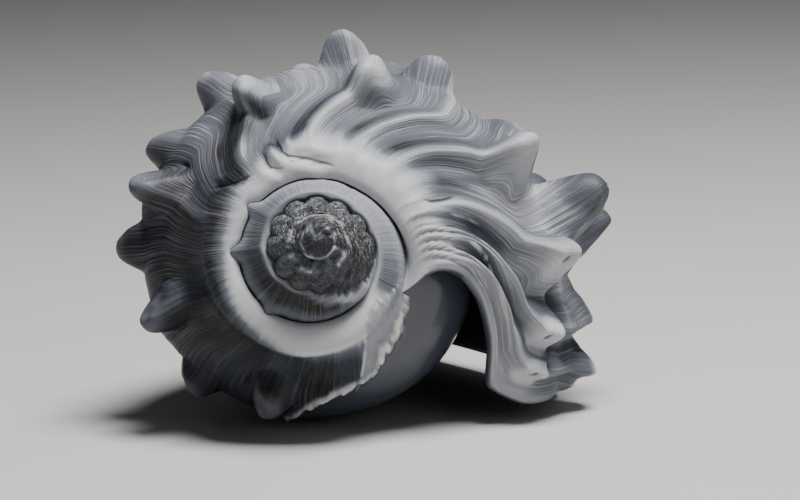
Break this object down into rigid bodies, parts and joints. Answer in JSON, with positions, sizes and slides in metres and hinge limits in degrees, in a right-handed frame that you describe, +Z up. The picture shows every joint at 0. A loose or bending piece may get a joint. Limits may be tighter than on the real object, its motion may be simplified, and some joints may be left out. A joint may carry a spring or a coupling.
{
  "type": "conch shell",
  "caption": "Spiny right-handed conch shell lying on its aperture, with a low spire, knobbed shoulder, flared wavy lip and a hollow open underneath.",
  "frame": {"origin": "middle of the box's underside, on the surface that the shell lies on", "axes": "+Z up; the apex points along -Y, the canal along +Y, and the lip is on the +X side"},
  "size_m": [0.07, 0.0876, 0.0542],
  "materials": {
    "shell": "satin, white and slate-grey growth streaks outside, glazed blue-grey inside"
  },
  "bodies": {
    "root": {"shell": "shell"}
  },
  "joints": []
}
